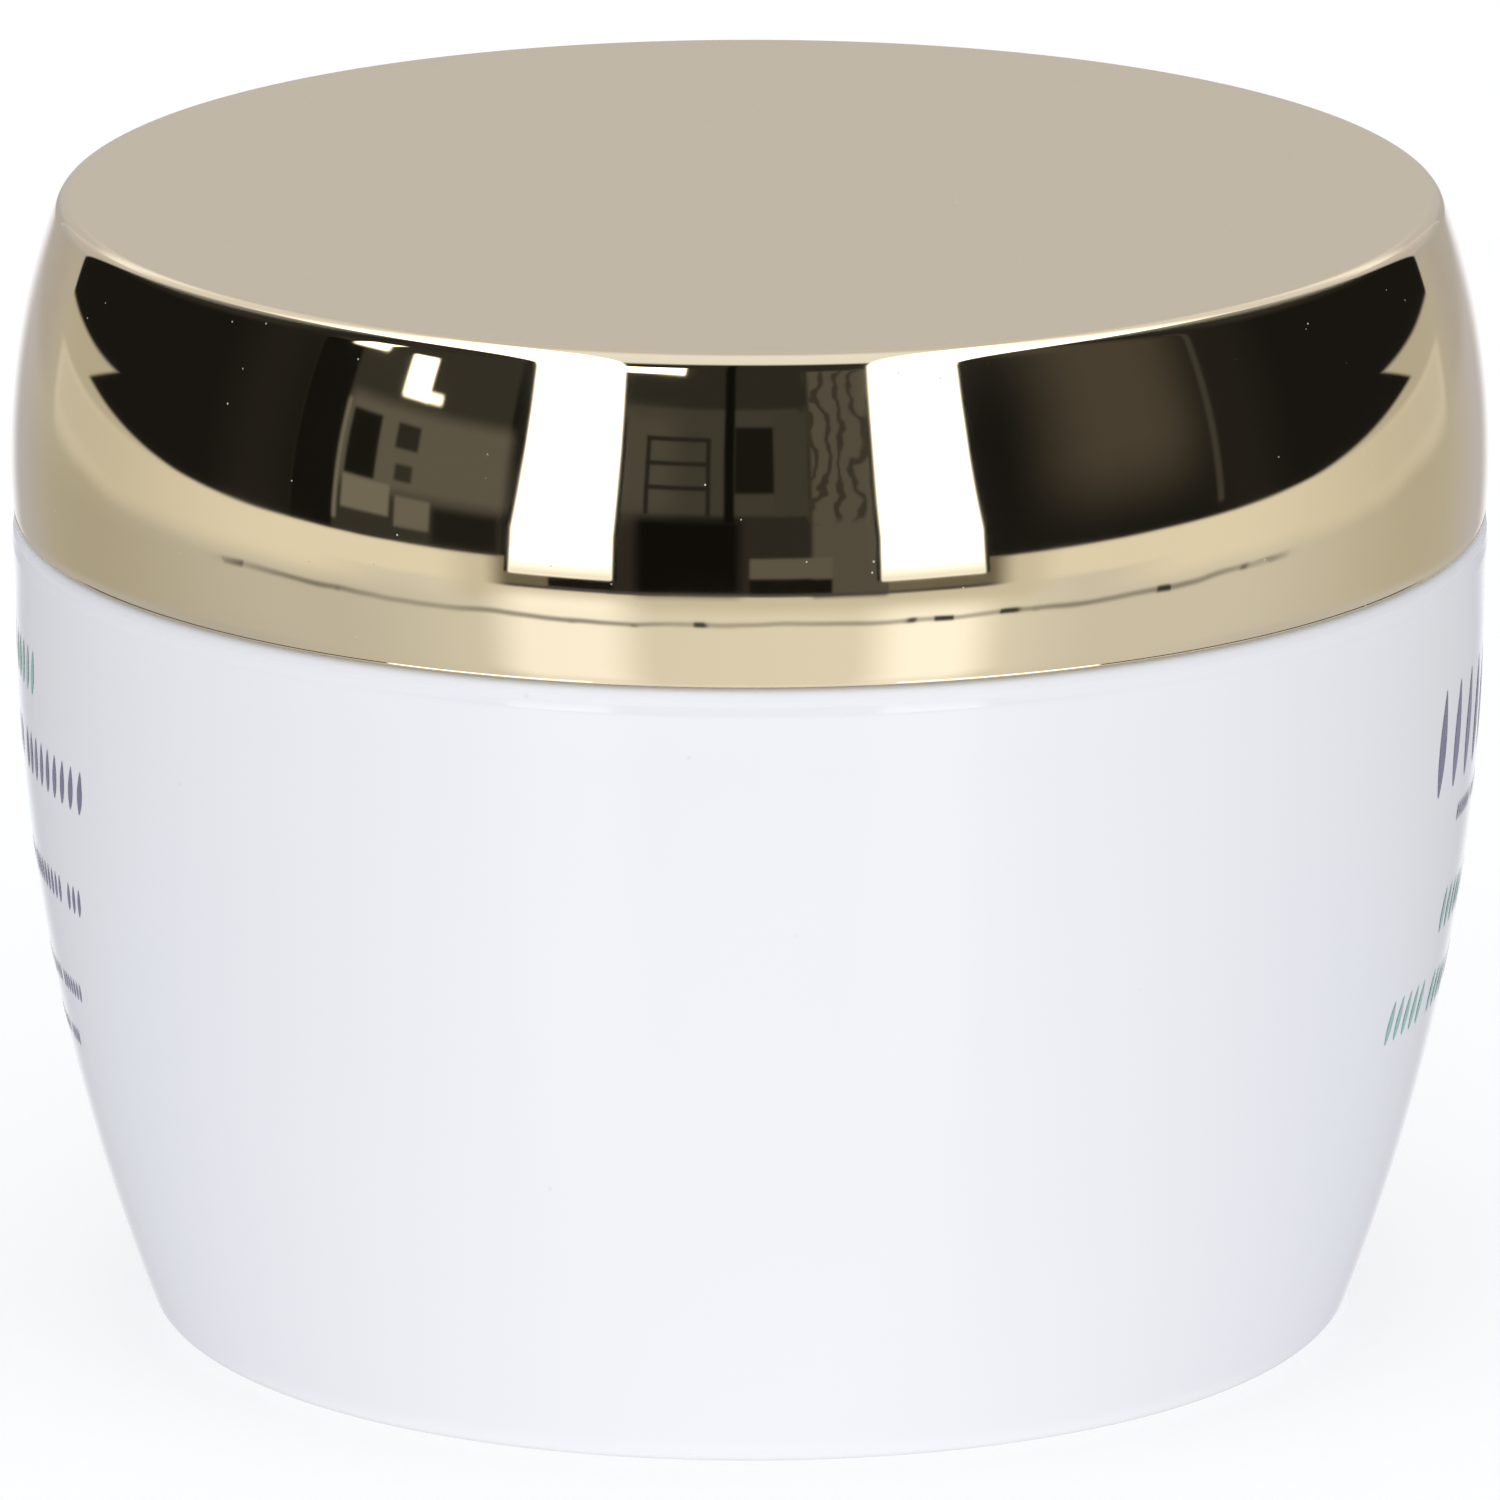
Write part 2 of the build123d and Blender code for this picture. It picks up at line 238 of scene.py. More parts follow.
def blend(tree, factor, first, second):
    """Mixes two colours."""
    node = add(tree, "Mix", {0: factor, 6: first, 7: second}, data_type="RGBA", clamp_factor=True)
    return node.outputs[2]


def grey(value):
    return (value, value, value, 1.0)


def material(name):
    """A material with its node tree, its Principled node and its object coordinates."""
    made = bpy.data.materials.new(name)
    made.use_nodes = True
    tree = made.node_tree
    shader = tree.nodes["Principled BSDF"]
    coords = add(tree, "TexCoord").outputs["Object"]
    return made, tree, shader, coords


def noise(tree, coords, size_mm, detail=2.0, rough=0.5):
    """Noise between 0 and 1, with features of about the given size."""
    inputs = {"Vector": coords, "Scale": 1 / (size_mm * MM), "Detail": detail, "Roughness": rough}
    return add(tree, "TexNoise", inputs).outputs["Fac"]


def cells(tree, coords, size_mm):
    """Scattered cells of about the given size."""
    return add(tree, "TexVoronoi", {"Vector": coords, "Scale": 1 / (size_mm * MM), "Randomness": 1.0})


def bump(tree, shader, height, depth_mm):
    node = add(tree, "Bump", {"Height": height, "Distance": depth_mm * MM, "Strength": 1.0})
    tree.links.new(node.outputs[0], shader.inputs["Normal"])


def spread(tree, value, low, high):
    """Maps noise onto a range."""
    inputs = {"Value": value, "From Min": 0.3, "From Max": 0.7, "To Min": low, "To Max": high}
    return add(tree, "MapRange", inputs).outputs["Result"]


# ---------------------------------------------------------------- materials
def make_gold():
    """Champagne-gold metallised plastic: a mirror with faint haze and dust, and a satin, part-matt top."""
    made, tree, shader, coords = material("gold_metallised")
    tone = blend(tree, noise(tree, coords, 14, 3), (0.80, 0.69, 0.50, 1), (0.82, 0.705, 0.51, 1))
    dust = cells(tree, coords, 1.0)
    drift = noise(tree, coords, 16, 1)
    chosen = calc(tree, "ADD", add(tree, "SeparateColor", {0: dust.outputs["Color"]}).outputs[0], drift)
    speck = smooth(tree, dust.outputs["Distance"], 0.055, 0.03)
    speck = calc(tree, "MULTIPLY", speck, smooth(tree, chosen, 0.88, 1.15))
    tree.links.new(blend(tree, speck, tone, grey(0.55)), shader.inputs["Base Color"])
    haze = spread(tree, noise(tree, coords, 6, 4, 0.6), 0.022, 0.04)
    height = add(tree, "SeparateXYZ", {0: coords}).outputs[2]
    flat_top = smooth(tree, height, (HEIGHT - 0.09) * MM, (HEIGHT - 0.03) * MM)
    lacquer = smooth(tree, height, (HEIGHT - 0.36) * MM, (HEIGHT - 0.2) * MM)
    dull = calc(tree, "MAXIMUM", speck, calc(tree, "MULTIPLY", lacquer, 0.35))
    tree.links.new(calc(tree, "SUBTRACT", 1.0, dull), shader.inputs["Metallic"])
    satin = calc(tree, "MULTIPLY_ADD", flat_top, 0.18, haze)
    rough = calc(tree, "MAXIMUM", satin, calc(tree, "MULTIPLY", speck, 0.7))
    tree.links.new(rough, shader.inputs["Roughness"])
    bump(tree, shader, noise(tree, coords, 6, 1.5), 0.005)
    return made


def make_white_gloss():
    """Glossy white plastic with a faint blue cast, slight flow marks and orange peel, duller at the rim."""
    made, tree, shader, coords = material("white_gloss")
    tone = blend(tree, noise(tree, coords, 11, 3), (0.868, 0.872, 0.892, 1), (0.882, 0.886, 0.905, 1))
    speck = smooth(tree, cells(tree, coords, 5.5).outputs["Distance"], 0.03, 0.01)
    speck = calc(tree, "MULTIPLY", speck, 0.12)
    tree.links.new(blend(tree, speck, tone, grey(0.3)), shader.inputs["Base Color"])
    polish = spread(tree, noise(tree, coords, 4, 4), 0.06, 0.12)
    height = add(tree, "SeparateXYZ", {0: coords}).outputs[2]
    rim = smooth(tree, height, (JAR_RIM_Z - 0.85) * MM, (JAR_RIM_Z - 0.7) * MM)
    tree.links.new(calc(tree, "MULTIPLY_ADD", rim, 0.34, polish), shader.inputs["Roughness"])
    bump(tree, shader, noise(tree, coords, 1.6, 2), 0.0008)
    return made


def make_satin(name, base, warm, low, high, grain_mm, depth_mm):
    """Moulded white polymer with a fine grain."""
    made, tree, shader, coords = material(name)
    tree.links.new(blend(tree, noise(tree, coords, 8, 3), base, warm), shader.inputs["Base Color"])
    tree.links.new(spread(tree, noise(tree, coords, 2.5, 4), low, high), shader.inputs["Roughness"])
    bump(tree, shader, noise(tree, coords, grain_mm, 3), depth_mm)
    return made


def make_foam():
    """Fine closed-cell foam."""
    made, tree, shader, coords = material("liner_foam")
    bubbles = cells(tree, coords, 0.28).outputs["Distance"]
    tone = blend(tree, bubbles, (0.86, 0.86, 0.84, 1), (0.78, 0.78, 0.76, 1))
    tree.links.new(tone, shader.inputs["Base Color"])
    tree.links.new(spread(tree, noise(tree, coords, 3, 3), 0.7, 0.9), shader.inputs["Roughness"])
    bump(tree, shader, bubbles, 0.03)
    return made


def make_ink(name, dark, light):
    """Screen-printed ink, slightly uneven."""
    made, tree, shader, coords = material(name)
    tree.links.new(blend(tree, noise(tree, coords, 0.6, 3), dark, light), shader.inputs["Base Color"])
    tree.links.new(spread(tree, noise(tree, coords, 0.4, 3), 0.22, 0.34), shader.inputs["Roughness"])
    bump(tree, shader, noise(tree, coords, 0.3, 2), 0.001)
    return made


gold = make_gold()
white_gloss = make_white_gloss()
white_satin = make_satin("white_satin", (0.84, 0.84, 0.83, 1), (0.87, 0.87, 0.855, 1), 0.3, 0.42, 0.7, 0.004)
soft_white = make_satin("soft_white", (0.82, 0.83, 0.825, 1), (0.86, 0.865, 0.85, 1), 0.36, 0.42, 1.1, 0.001)
foam = make_foam()
violet_ink = make_ink("violet_ink", (0.15, 0.15, 0.27, 1), (0.19, 0.19, 0.32, 1))
green_ink = make_ink("green_ink", (0.27, 0.52, 0.45, 1), (0.33, 0.58, 0.52, 1))


# ---------------------------------------------------------------- the lid's metallised shell
def make_lid_shell():
    """A flat top, a bulging side with a fine moulding line at its edge, and ribs inside that drive it."""
    centre_x = LID_RADIUS - LID_SIDE_ARC
    corner_arc = LID_SIDE_ARC - LID_RIM_CORNER
    tilt = degrees(asin((HEIGHT - LID_RIM_CORNER - LID_WIDEST_Z) / corner_arc))
    corner_x = centre_x + corner_arc * cos(radians(tilt))
    edge_z = JAR_RIM_Z + SEAM
    drop = LID_WIDEST_Z - edge_z
    edge_x = centre_x + sqrt(LID_SIDE_ARC**2 - drop**2)
    side_end = degrees(asin((SIDE_END - drop) / LID_SIDE_ARC))
    inner_arc = LID_SIDE_ARC - LID_WALL
    inner_edge = centre_x + sqrt(inner_arc**2 - drop**2)
    ceiling = HEIGHT - LID_TOP
    inner_tilt = degrees(asin((ceiling - LID_TOP_CORNER - LID_WIDEST_Z) / inner_arc))

    top = [(x, HEIGHT) for x in (0, *LID_TOP_RINGS, corner_x - 0.03)]
    rim = arc(corner_x, HEIGHT - LID_RIM_CORNER, LID_RIM_CORNER, 90, tilt, 20)
    side = arc(centre_x, LID_WIDEST_Z, LID_SIDE_ARC, tilt, side_end, 56)
    lip_x = edge_x + LIP_PROUD
    mould_line = [(edge_x - depth, edge_z + height) for height, depth in MOULD_LINE]
    lip = rounded([
        (lip_x, edge_z + LIP_TOP, 0),
        (lip_x, edge_z, 0.03),
        (inner_edge, edge_z, 0.2),
        (inner_edge, LIP_FOOT_Z, 0),
    ])
    inside = arc(centre_x, LID_WIDEST_Z, inner_arc, -4, inner_tilt, 24)
    inside += [(inside[-1][0] - 0.5, ceiling), (0, ceiling)]
    bm = bmesh.new()
    lathe(bm, top + rim + side[1:] + mould_line + lip + inside)
    for k in range(LID_RIBS):
        low = (LID_RIB[0], -LID_RIB_HALF, LID_RIB_FOOT_Z)
        high = (LID_RIB[1], LID_RIB_HALF, ceiling + 0.3)
        block(bm, low, high, 360 / LID_RIBS * k)
    piece("lid_shell_gold", bm, gold, "gold_metallised", "lid", "lid_shell")


# ---------------------------------------------------------------- the white outer jar
def jar_radius(z):
    """The jar's outside, with its slight flare at the shoulder."""
    if z > JAR_WIDEST_Z:
        full = SHOULDER_Z - JAR_WIDEST_Z
        arc_radius = (full**2 + SHOULDER_FLARE**2) / (2 * SHOULDER_FLARE)
        rise = min(z - JAR_WIDEST_Z, full)
        return JAR_RADIUS + arc_radius - sqrt(arc_radius**2 - rise**2)
    return JAR_RADIUS - JAR_SIDE_ARC + sqrt(JAR_SIDE_ARC**2 - (z - JAR_WIDEST_Z) ** 2)


def barrel(inset, floor_z, corner, top_z, steps):
    """The barrel's rounded corner and side, from the floor up."""
    radius = JAR_SIDE_ARC - inset
    centre_x = JAR_RADIUS - JAR_SIDE_ARC
    tilt = asin((JAR_WIDEST_Z - floor_z - corner) / (radius - corner))
    corner_x = centre_x + (radius - corner) * cos(tilt)
    low = arc(corner_x, floor_z + corner, corner, -90, -degrees(tilt), 14)
    end = degrees(asin((top_z - JAR_WIDEST_Z) / radius))
    return low + arc(centre_x, JAR_WIDEST_Z, radius, -degrees(tilt), end, steps)[1:]


def make_outer_jar():
    """The barrel with its foot ring, and the rebate, groove and keys that hold the inner cup."""
    outside = barrel(0, 0, FOOT_CORNER, JAR_WIDEST_Z, 56)
    outside += [(jar_radius(z), z) for z in np.linspace(JAR_WIDEST_Z, SHOULDER_Z, 12)[1:]]
    shoulder = jar_radius(SHOULDER_Z) - SHOULDER_SINK
    step = shoulder + SHOULDER_STEP
    outside += [(step, 38.08), (step, 38.3), (shoulder, 38.38), (shoulder, 38.5)]
    foot_x = outside[0][0]
    recess = rounded([
        (0, FOOT_RECESS, 0),
        (foot_x - FOOT_RING - 0.5, FOOT_RECESS, 0.4),
        (foot_x - FOOT_RING, 0, 0.25),
        (foot_x - 0.05, 0, 0),
    ])
    inside = barrel(JAR_WALL, JAR_FLOOR, INSIDE_CORNER, INSIDE_TOP_Z, 20)
    groove_top, groove_low = (REBATE_Z - depth for depth in GROOVE_DEPTHS)
    rim = rounded([
        outside[-1] + (0,),
        (shoulder, JAR_RIM_Z, SHOULDER_CORNER),
        (REBATE_RADIUS, JAR_RIM_Z, 0.1),
        (REBATE_RADIUS, REBATE_Z, 0),
        (COLLAR_RADIUS, REBATE_Z, 0),
        (COLLAR_RADIUS, groove_top, 0),
        (GROOVE_RADIUS, groove_top, 0),
        (GROOVE_RADIUS, groove_low, 0),
        (COLLAR_RADIUS, groove_low, 0),
        (COLLAR_RADIUS, REBATE_Z - COLLAR_DEPTH, 0),
        inside[-1] + (0,),
    ], steps=10)
    bm = bmesh.new()
    lathe(bm, recess + outside + rim[1:-1] + inside[::-1] + [(0, JAR_FLOOR)])
    for k in range(KEYS):
        low = (KEY_RADIUS, -KEY_HALF, REBATE_Z - KEY_DEPTHS[1])
        high = (GROOVE_RADIUS, KEY_HALF, REBATE_Z - KEY_DEPTHS[0])
        block(bm, low, high, 360 / KEYS * k)
    piece("outer_jar_gloss", bm, white_gloss, "white_gloss", "jar", "outer_jar")


# ---------------------------------------------------------------- sealing disc and liner
def make_grip(bm):
    """The rounded tab that stands across the disc, thin enough to pinch."""
    corner_x = GRIP_HALF_LENGTH - GRIP_CORNER
    corner_z = GRIP_TOP_Z - GRIP_CORNER
    foot_z = DISC_FLOOR_Z + 0.3
    outline = [(-GRIP_HALF_LENGTH, foot_z), (GRIP_HALF_LENGTH, foot_z)]
    outline += arc(corner_x, corner_z, GRIP_CORNER, 0, 90, 8)
    outline += arc(-corner_x, corner_z, GRIP_CORNER, 90, 180, 8)
    front, back = (
        [bm.verts.new((x * MM, y * MM, z * MM)) for x, z in outline]
        for y in (-GRIP_HALF_WIDTH, GRIP_HALF_WIDTH)
    )
    ends = [bm.faces.new(front), bm.faces.new(back)]
    for k in range(len(outline)):
        n = (k + 1) % len(outline)
        bm.faces.new((front[k], front[n], back[n], back[k]))
    edges = [edge for face in ends for edge in face.edges]
    bmesh.ops.bevel(bm, geom=edges, offset=0.3 * MM, segments=3, profile=0.5, affect="EDGES")


def make_disc():
    """A shallow plug with a flange that rests on the neck."""
    floor_top = DISC_FLOOR_Z + DISC_FLOOR
    flange_top = NECK_TOP_Z + DISC_FLANGE
    bm = bmesh.new()
    lathe(bm, rounded([
        (0, DISC_FLOOR_Z, 0),
        (25.2, DISC_FLOOR_Z, 0.3),
        (25.7, DISC_FLOOR_Z + 0.5, 0.3),
        (DISC_PLUG_RADIUS, NECK_TOP_Z - 1.5, 0.4),
        (DISC_PLUG_RADIUS, NECK_TOP_Z, 0.1),
        (DISC_RADIUS, NECK_TOP_Z, 0.12),
        (DISC_RADIUS, flange_top, 0.25),
        (25.3, flange_top, 0.3),
        (24.9, floor_top, 0.7),
        (0, floor_top, 0),
    ]), AROUND_SMALL)
    make_grip(bm)
    piece("sealing_disc_soft", bm, soft_white, "white_satin", "disc", "sealing_disc")


def make_liner():
    """A flat foam disc with a shallow ring pressed into it."""
    pressed_z = LINER_LOW_Z + LINER_STEP
    bm = bmesh.new()
    lathe(bm, rounded([
        (0, LINER_LOW_Z, 0),
        (25.2, LINER_LOW_Z, 0.08),
        (25.4, pressed_z, 0.08),
        (27.6, pressed_z, 0.08),
        (27.85, LINER_LOW_Z, 0.08),
        (LINER_RADIUS, LINER_LOW_Z, 0.2),
        (LINER_RADIUS, LINER_HIGH_Z, 0.15),
        (0, LINER_HIGH_Z, 0),
    ]), AROUND_SMALL)
    piece("lid_liner_foam", bm, foam, "liner_foam", "liner", "lid_liner")


# ---------------------------------------------------------------- printing on the jar
INK_LIFT = 0.02
LEAN_DEG = 12  # slant of the petals in a row
LEAVES = 18  # the large petals at the right
LEAF_PITCH = 2.4
LEAF_START_DEG = 69.5


def on_jar(along, z):
    """A point on the jar's side, from its distance round the jar and its height."""
    angle = along / JAR_RADIUS
    radius = jar_radius(z) + INK_LIFT
    return Vector((radius * sin(angle), -radius * cos(angle), z)) * MM


def strip(bm, pairs):
    """A band of quads between two edges of (along, z) points."""
    rails = [[bm.verts.new(on_jar(*p)) for p in pair] for pair in pairs]
    for (a, b), (c, d) in zip(rails, rails[1:]):
        bm.faces.new((a, b, d, c))


def petal(bm, x, z, length, width, lean_deg):
    """A pointed petal that stands on (x, z) and leans sideways."""
    c, s = cos(radians(lean_deg)), sin(radians(lean_deg))
    pairs = []
    for t in np.linspace(0.02, 0.98, 14):
        reach = width / 2 * sin(pi * t**0.85)
        foot = (x + length * t * s, z + length * t * c)
        pairs.append(((foot[0] - reach * c, foot[1] + reach * s), (foot[0] + reach * c, foot[1] - reach * s)))
    strip(bm, pairs)


def border(bm, start_deg, end_deg, z, height, groups):
    """A row of slanting petals that stands at z between two bearings, in groups of the given counts."""
    pitch = height * 0.5
    x, end = radians(start_deg) * JAR_RADIUS, radians(end_deg) * JAR_RADIUS
    k = 0
    while x < end - pitch:
        for _ in range(groups[k % len(groups)]):
            if x < end - pitch:
                petal(bm, x, z, height / cos(radians(LEAN_DEG)), height * 0.24, LEAN_DEG)
            x += pitch
        x, k = x + pitch, k + 1


def print_piece(name, ink, draw):
    """One ink's print on one side of the jar."""
    bm = bmesh.new()
    draw(bm)
    piece(name, bm, ink, "white_gloss", "jar")


def right_violet(bm):
    start = radians(LEAF_START_DEG) * JAR_RADIUS
    for k in range(LEAVES):
        petal(bm, start + k * LEAF_PITCH, 28.0, length=5.4, width=0.9, lean_deg=6)
    border(bm, 76, 138, 26.0, 1.0, (7, 5, 9))


def right_green(bm):
    border(bm, 75, 138, 20.6, 2.3, (5, 8))
    border(bm, 65, 147, 16.5, 2.2, (5, 4, 7, 6, 4, 8, 5))


def left_violet(bm):
    border(bm, -149, -63.5, 27.8, 2.3, (6, 5, 8, 7, 5, 9))
    border(bm, -146, -67, 22.4, 1.5, (9, 6))
    border(bm, -142, -71, 17.6, 1.05, (7, 10, 5))
    border(bm, -138, -75, 14.8, 1.0, (8, 6, 11))


def left_green(bm):
    border(bm, -140, -73, 32.0, 2.4, (7, 5))


make_lid_shell()
make_outer_jar()
make_disc()
make_liner()
print_piece("print_right_leaves", violet_ink, right_violet)
print_piece("print_right_lines", green_ink, right_green)
print_piece("print_left_lines", violet_ink, left_violet)
print_piece("print_left_heading", green_ink, left_green)

for node in ("inner_cup", "lid_insert"):
    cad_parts[node].data.materials.clear()
    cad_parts[node].data.materials.append(white_satin)


# ---------------------------------------------------------------- studio
class Sky:
    """The directions round the jar, in degrees, and the colour that a mirror sees in each of them."""

    def __init__(self, tree):
        self.tree = tree
        self.direction = add(tree, "TexCoord").outputs["Generated"]
        self.x, y, self.z = add(tree, "SeparateXYZ", {0: self.direction}).outputs
        self.front = self.calc("MULTIPLY", y, -1.0)
        self.around = self.angle("ARCTAN2", self.x, self.front)
        self.height = self.angle("ARCSINE", self.z)
        self.side = self.calc("ABSOLUTE", self.around)
        self.over = self.angle("ARCTAN2", self.z, self.front)  # 0 in front, 90 overhead
        self.aside = self.calc("ABSOLUTE", self.calc("ADD", self.angle("ARCSINE", self.x), 0.5))
        self.seen = None

    def calc(self, operation, *values):
        return calc(self.tree, operation, *values)

    def angle(self, operation, *values):
        return self.calc("DEGREES", self.calc(operation, *values))

    def step(self, value, low, high):
        return smooth(self.tree, value, low, high)

    def both(self, *masks):
        """Where all the masks hold."""
        made = masks[0]
        for mask in masks[1:]:
            made = self.calc("MULTIPLY", made, mask)
        return made

    def between(self, value, low, high, soft):
        return self.both(self.step(value, low - soft, low + soft), self.step(value, high + soft, high - soft))

    def clouds(self, scale, detail=1.0):
        inputs = {"Vector": self.direction, "Scale": scale, "Detail": detail}
        return add(self.tree, "TexNoise", inputs).outputs["Fac"]

    def scaled(self, colour, factor):
        return add(self.tree, "VectorMath", {0: colour, "Scale": factor}, operation="SCALE").outputs[0]

    def tinted(self, colour, mask, tint):
        return blend(self.tree, mask, colour, (*tint, 1.0))

    def paint(self, mask, tint):
        self.seen = self.tinted(self.seen, mask, tint)

    def panel(self, left, right, low, high, level, soft=0.35):
        """A warm grey rectangle between two bearings and two heights."""
        bearings = self.between(self.around, left, right, soft)
        heights = self.between(self.height, low, high, soft)
        self.paint(self.both(bearings, heights), (level, level * 0.97, level * 0.86))


def paint_walls(sky):
    """The pale walls behind the jar."""
    mottle = spread(sky.tree, sky.clouds(35.0), 0, 1)
    sky.seen = blend(sky.tree, mottle, (0.583, 0.554, 0.568, 1), (0.596, 0.581, 0.604, 1))
    sky.paint(sky.step(sky.height, 9, 2), (0.50, 0.51, 0.52))


def paint_sheet(sky, table, line):
    """A paler sheet that lies on the table at both sides."""
    sheet = sky.both(
        sky.between(sky.side, 42, 139, 2.0),
        sky.step(line, -13.3, -10.0),
        sky.step(sky.height, -4.0, -5.0),
        sky.calc("MAXIMUM", sky.step(sky.side, 52, 72), sky.step(sky.height, -9.0, -8.0)),
    )
    table = sky.tinted(table, sky.both(sheet, 0.85), (0.93, 0.90, 0.80))
    return sky.tinted(table, sky.both(sheet, sky.step(sky.side, 75, 130)), (0.66, 0.64, 0.57))


def paint_glow(sky, table):
    """The strip lights' glow on the table in front."""
    near_edge = sky.both(sky.step(sky.side, 50, 42), sky.step(sky.height, -12.5, -9.5))
    table = sky.tinted(table, near_edge, (0.72, 0.70, 0.63))
    left_glow = sky.both(sky.between(sky.around, -38.5, -19, 5), sky.step(sky.height, -8.0, -11.0))
    right_glow = sky.both(sky.between(sky.around, 20, 36, 5), sky.step(sky.height, -9.0, -13.5))
    glow = sky.both(sky.calc("ADD", left_glow, right_glow), sky.step(sky.height, -50, -25))
    return sky.tinted(table, glow, (1.30, 1.31, 1.34))


def paint_edge_line(sky, table, line):
    """The thin dark line of the table's far edge, with bolder dashes in it."""
    faint = spread(sky.tree, sky.clouds(2.2), 0.5, 0.8)
    bold = sky.step(sky.clouds(9.0), 0.57, 0.63)
    thin = sky.both(sky.between(line, -13.4, -12.7, 0.3), sky.step(sky.side, 96, 76))
    table = sky.tinted(table, sky.both(thin, sky.calc("MAXIMUM", faint, bold)), (0.10, 0.095, 0.09))
    return sky.tinted(table, sky.both(thin, bold), (0.03, 0.03, 0.03))


def paint_table(sky):
    """The pale table all round, darker at the sides and bright behind."""
    table = sky.tinted(grey(0.0), 1.0, (0.905, 0.905, 0.86))
    table = sky.tinted(table, sky.step(sky.side, 30, 70), (0.71, 0.71, 0.70))
    table = sky.tinted(table, sky.step(sky.around, 34, 62), (0.71, 0.71, 0.70))
    table = sky.tinted(table, sky.step(sky.side, 75, 130), (0.545, 0.525, 0.45))
    table = sky.tinted(table, sky.step(sky.side, 135, 158), (0.56, 0.545, 0.57))
    table = sky.tinted(table, sky.step(sky.side, 160, 173), (1.0, 1.0, 1.05))
    far_corner = sky.both(sky.step(sky.side, 138, 150), sky.step(sky.height, -9.5, -7.0))
    table = sky.tinted(table, far_corner, (0.49, 0.47, 0.45))

    bend = sky.calc("MULTIPLY", sky.calc("MULTIPLY", sky.side, sky.side), 0.00016)
    wander = sky.calc("MULTIPLY", sky.calc("SUBTRACT", sky.clouds(3.0, 2.0), 0.5), 2.0)
    line = sky.calc("ADD", sky.calc("SUBTRACT", sky.height, bend), wander)
    table = paint_sheet(sky, table, line)
    table = paint_glow(sky, table)
    low_sides = sky.both(sky.step(sky.height, -16, -24), sky.step(sky.side, 60, 110))
    table = sky.tinted(table, low_sides, (0.60, 0.61, 0.65))
    slope = sky.calc("MULTIPLY_ADD", sky.x, 0.08, -0.045)
    slope = sky.calc("MULTIPLY_ADD", slope, sky.step(sky.height, -8, -13), 1.0)
    table = paint_edge_line(sky, sky.scaled(table, slope), line)
    sky.seen = blend(sky.tree, sky.step(sky.height, 0.5, -1.5), sky.seen, table)


def paint_dark_front(sky):
    """The dark surroundings in front, with their ragged ends."""
    slant = sky.calc("MULTIPLY_ADD", sky.height, -2.9, 118.0)
    raised = sky.calc("MULTIPLY", sky.step(sky.side, 92, 130), 1.3)
    floor_line = sky.calc("SUBTRACT", sky.height, raised)
    short_of_slant = sky.step(sky.calc("SUBTRACT", sky.side, slant), 0.6, -0.6)
    lower = sky.both(short_of_slant, sky.step(floor_line, -4.75, -4.25))
    upper_edge = sky.calc("MULTIPLY_ADD", sky.side, -0.0714, 8.2)
    haze = sky.calc("MULTIPLY", sky.calc("MAXIMUM", sky.height, 0.0), 0.2)
    inside = sky.calc("DIVIDE", sky.calc("SUBTRACT", 140.2, sky.side), sky.calc("ADD", haze, 0.7))
    above_edge = sky.step(sky.calc("SUBTRACT", sky.height, upper_edge), -0.25, 0.25)
    upper = sky.both(sky.step(inside, 0.0, 1.0), above_edge)
    higher = sky.step(sky.height, 14, 36)
    dark = blend(sky.tree, higher, (0.0118, 0.0115, 0.0112, 1), (0.036, 0.035, 0.032, 1))
    sky.seen = blend(sky.tree, sky.calc("MAXIMUM", lower, upper), sky.seen, dark)


def paint_right_wall(sky):
    wall = sky.both(sky.between(sky.around, 49, 74, 9.5), sky.step(sky.height, -5.0, 9.0))
    sky.paint(sky.both(wall, 0.95), (0.084, 0.074, 0.060))
    corners = sky.both(sky.between(sky.side, 78, 88, 8), sky.step(sky.height, -4.9, -4.3))
    sky.paint(corners, (0.021, 0.020, 0.018))
    sky.panel(77, 78.2, -3, 30, 0.06, 0.4)


def paint_left_wall(sky):
    """A wall with a doorway, frames, low cupboards and three lamps."""
    sky.panel(-75.5, -38.5, -4.3, 30, 0.042)
    sky.panel(-67, -38, 2, 14, 0.13, 1.5)
    sky.panel(-68.8, -66.8, -3, 13, 0.2)
    sky.panel(-66, -60.5, 3.2, 12, 0.012)
    sky.panel(-57.5, -53.5, 8.3, 11.8, 0.03)
    sky.panel(-57, -54, 3.8, 6.2, 0.04)
    sky.panel(-66, -57.5, -1.3, 3.0, 0.2)
    sky.panel(-56.5, -50.5, -2.4, 1.8, 0.17)
    sky.panel(-50, -39, -4.2, 1.0, 0.016, 0.8)
    sky.panel(-75.5, -67.5, -4.3, 24, 0.009)
    sky.panel(-58, -53.5, 15.6, 21.8, 4.0, 0.5)
    sky.panel(-54, -51, 15.6, 17.0, 3.0, 0.5)
    sky.panel(-70, -63, 20.6, 32.0, 3.0, 0.6)


